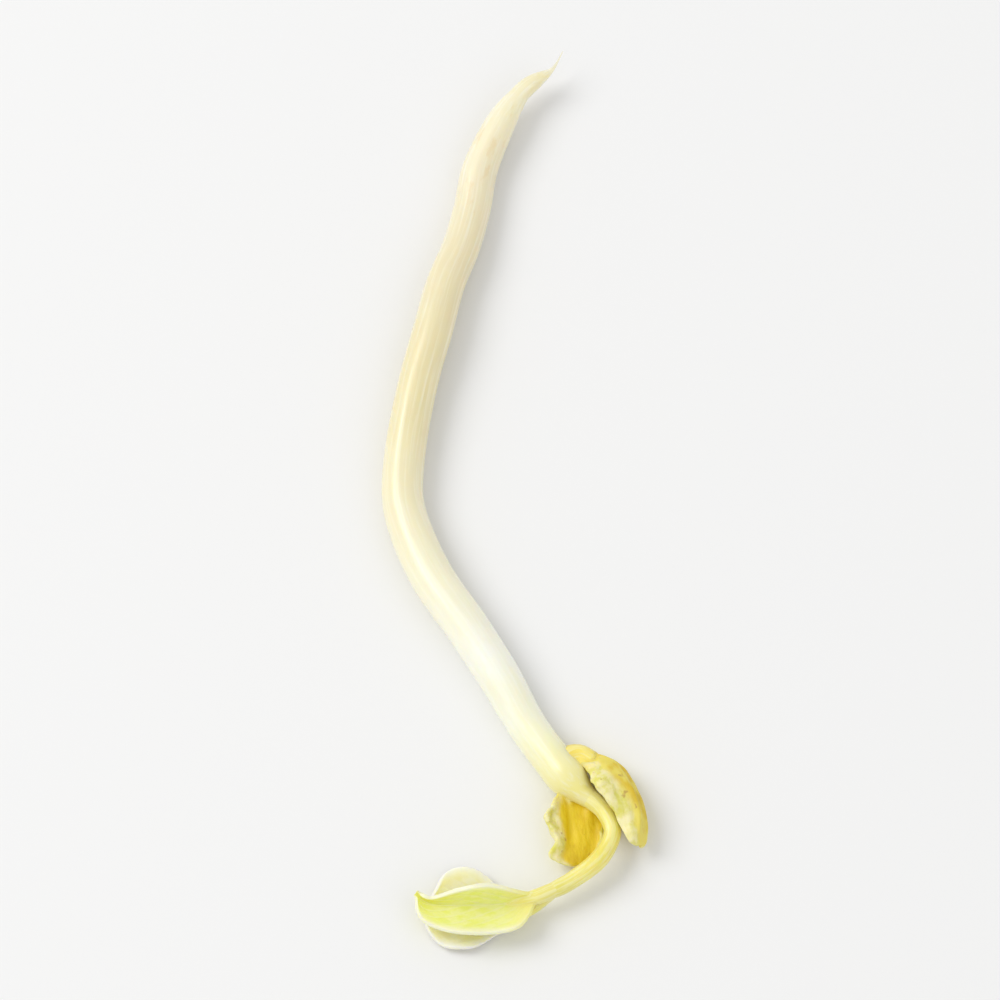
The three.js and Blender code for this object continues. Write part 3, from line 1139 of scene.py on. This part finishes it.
def husk_stalk(husk, mottling):
    """The stalk's brighter yellow, mottled, with pale fibres."""
    fibres = speckle(husk, note(husk, "grain", "Vector"), stretch=(3.2, 3.2, 0.5), detail=4.0)
    gold = blend_colours(husk, ease(husk, mottling, 0.4, 0.7, to_high=0.7), "F6E268", "EACB48")
    return blend_colours(husk, ease(husk, fibres, 0.42, 0.66, to_high=0.6), gold, "F9F1AE")


husk = living_material("shrivelled_seed", roughness=0.5, depth=0.5, colour_depths=(0.9, 0.8, 0.2),
                       inside=SEED_HALF_INSIDE, coat=0.08)
grain_note, way, on_stalk = note(husk, "grain", "Vector"), note(husk, "along"), note(husk, "stalk")
mottling = speckle(husk, grain_note, stretch=(0.9, 0.9, 0.6), detail=4.0)
near_stalk = maths(husk, "MAXIMUM", on_stalk, ease(husk, way, 0.02, 0.3, to_low=0.85, to_high=0.0))
stalked = blend_colours(husk, near_stalk, husk_gold(husk, mottling), husk_stalk(husk, mottling))
specks = speckle(husk, grain_note, stretch=(2.2, 2.2, 1.6), detail=2.0)
specked = blend_colours(husk, ease(husk, specks, 0.66, 0.78, to_high=0.6), stalked, "B07F45")
wrinkling = speckle(husk, grain_note, stretch=(2.6, 2.6, 1.3), detail=4.0, rough=0.5)
skin(husk, height=wrinkling, depth=0.08, colour=specked)
joined = maths(husk, "MULTIPLY", on_stalk, ease(husk, way, 0.4, 0.8, to_low=1.0, to_high=0.0))
let_light_in(husk, maths(husk, "MULTIPLY_ADD", joined, -SEED_HALF_INSIDE, SEED_HALF_INSIDE))
for half in (front_half, back_half):
    dress(half, husk)

# %% [markdown]
# ## The leaves' skin
# A leaf is lime inside and paler along its midrib, its side veins and its margin, and the lower
# leaf is creamier all over. The pattern is drawn in the blade's own map: across tells how near
# the midrib a point is, and a set of slanted lines gives the side veins. They sweep exactly as
# the blade's own relief does, but for a little wandering.

# %% Draw the veins and the tissue between them


def leaf_ribs(leaf, share, wander, reach):
    """How much a point is on the midrib or on a side vein."""
    slant = maths(leaf, "MULTIPLY", maths(leaf, "MULTIPLY_ADD", reach, -VEIN_SWEEP, wander),
                  SIDE_VEINS)
    from_vein = maths(leaf, "PINGPONG", slant, 0.5)
    side_vein = maths(leaf, "MULTIPLY", ease(leaf, from_vein, 0.0, 0.22, to_low=0.3, to_high=0.0),
                      ease(leaf, reach, 0.55, 0.95, to_low=1.0, to_high=0.15))
    midrib = ease(leaf, reach, 0.0, 0.1, to_low=0.5, to_high=0.0)
    past_foot = ease(leaf, share, 0.02, 0.16)
    return maths(leaf, "MULTIPLY", maths(leaf, "MAXIMUM", side_vein, midrib), past_foot)


def leaf_tissue(leaf, cells, across, wander, colours):
    """The tissue between the veins, which turns to the tip's colour on its way there. The turn comes
    sooner on the far half, and on the upright far half of the upper leaf that deeper lime is painted
    shade.
    """
    mottled = blend_colours(leaf, ease(leaf, cells, 0.35, 0.65), colours.shade, colours.blade)
    # The tip's deeper lime is pushed along the far half. On the upper leaf, where that half stands
    # upright, it is painted shade.
    towards_tip_and_far_shade = maths(leaf, "MULTIPLY_ADD", across, 0.16, wander)
    return blend_colours(leaf, ease(leaf, towards_tip_and_far_shade, 0.5, 0.95, to_high=0.85), mottled,
                         colours.tip)


# %% [markdown]
# On the stalk the blade's pattern gives way to the streaks of the shoot, in colour and in relief.

# %% Colour the leaves
LEAF_INSIDE = 0.8
VEIN_WANDER = 0.03


def leaf_material(name, colours):
    leaf = living_material(name, roughness=0.4, depth=0.9, colour_depths=(0.9, 1.0, 0.35),
                           inside=LEAF_INSIDE, coat=0.15)
    chart, on_stalk = note(leaf, "chart", "Vector"), note(leaf, "stalk")
    spot = add_node(leaf, "ShaderNodeSeparateXYZ")
    feed(leaf, spot.inputs[0], chart)
    share, across = spot.outputs[0], spot.outputs[1]
    reach = maths(leaf, "ABSOLUTE", across)
    cells = speckle(leaf, chart, stretch=(6.0, 2.4, 1.0), scale=1.6)
    wander = maths(leaf, "MULTIPLY_ADD", maths(leaf, "SUBTRACT", cells, 0.5), VEIN_WANDER, share)
    ribs = leaf_ribs(leaf, share, wander, reach)
    tissue = leaf_tissue(leaf, cells, across, wander, colours)
    veined = blend_colours(leaf, ribs, tissue, colours.vein)
    edged = blend_colours(leaf, ease(leaf, reach, 0.74, 1.0), veined, colours.vein)

    streaks = streaks_of(leaf)
    foot = streak(leaf, streaks, colours.foot, colours.foot_streak)
    near_stalk = ease(leaf, share, 0.04, 0.3, to_low=0.95, to_high=0.0)
    footed = blend_colours(leaf, maths(leaf, "MAXIMUM", near_stalk, on_stalk), edged, foot)
    relief = maths(leaf, "MULTIPLY_ADD", maths(leaf, "SUBTRACT", cells, ribs),
                   maths(leaf, "SUBTRACT", 1.0, on_stalk),
                   maths(leaf, "MULTIPLY", streaks, on_stalk))
    skin(leaf, height=relief, depth=0.05, colour=footed)
    joined = maths(leaf, "MULTIPLY", on_stalk,
                   ease(leaf, note(leaf, "along"), 0.22, 0.45, to_low=1.0, to_high=0.0))
    let_light_in(leaf, maths(leaf, "MULTIPLY_ADD", joined, -LEAF_INSIDE, LEAF_INSIDE))
    return leaf


dress(upper_leaf, leaf_material("lime_leaf", SimpleNamespace(
    blade="F0F3A4", shade="E9EF80", vein="F7F6D2", foot="F0E682", foot_streak="F8F3B8",
    tip="E2DF44")))
dress(lower_leaf, leaf_material("pale_leaf", SimpleNamespace(
    blade="F8F2D0", shade="F4EAB4", vein="FBF6E2", foot="F0E684", foot_streak="F8F3B8",
    tip="F2E8A0")))
